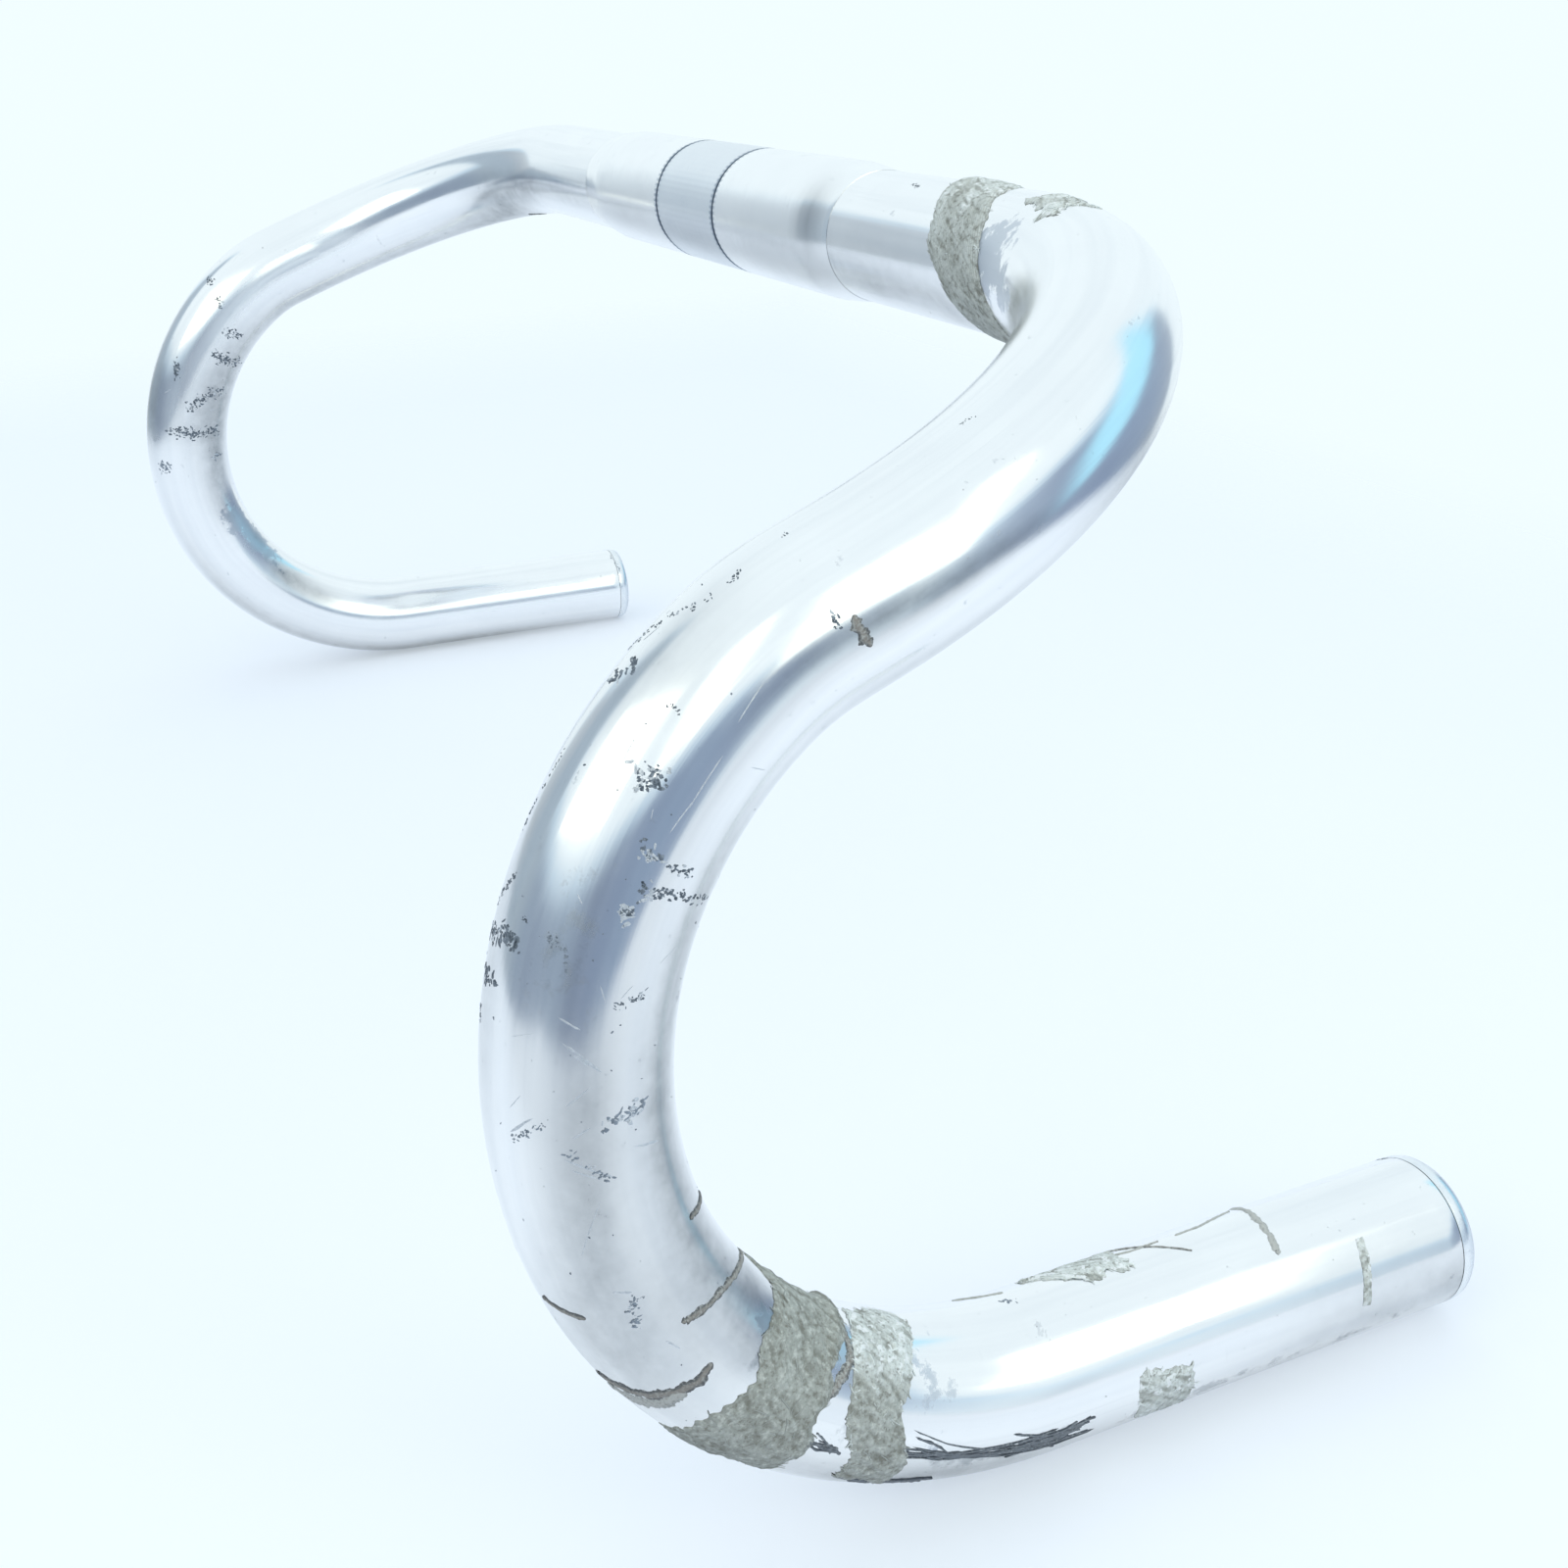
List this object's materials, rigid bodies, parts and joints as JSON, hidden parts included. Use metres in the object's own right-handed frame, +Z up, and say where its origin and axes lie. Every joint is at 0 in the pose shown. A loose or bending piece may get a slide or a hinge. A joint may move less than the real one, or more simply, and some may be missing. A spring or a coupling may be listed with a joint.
{
  "type": "drop handlebar",
  "caption": "Bare bicycle drop handlebar of bent aluminium tube with a knurled stem clamp sleeve, push-in end plugs and torn scraps of old cloth tape.",
  "frame": {"origin": "middle of the clamp sleeve, on the axis of the straight tops", "axes": "+X along the tops to the rider's left, -Y forward, +Z up; the bar stands on its level drops, which run back along +Y"},
  "size_m": [0.4451, 0.1498, 0.1697],
  "materials": {
    "polished_aluminium": "polished and anodised, worn, with chips and scratches",
    "sleeve_aluminium": "satin, with a knurled band between two ring grooves",
    "plug_silver": "metallised plastic",
    "cloth_tape": "old woven cloth tape, torn and dirty"
  },
  "bodies": {
    "root": {"bar_tube": "polished_aluminium", "clamp_sleeve": "sleeve_aluminium", "end_plug_left": "plug_silver", "end_plug_right": "plug_silver", "tape_band_corner": "cloth_tape", "tape_scrap_corner": "cloth_tape", "tape_band_hook": "cloth_tape", "tape_scrap_hook_under": "cloth_tape", "tape_band_drop": "cloth_tape", "tape_scrap_drop_front": "cloth_tape", "tape_scrap_drop_top": "cloth_tape", "tape_strip_drop": "cloth_tape"}
  },
  "joints": []
}
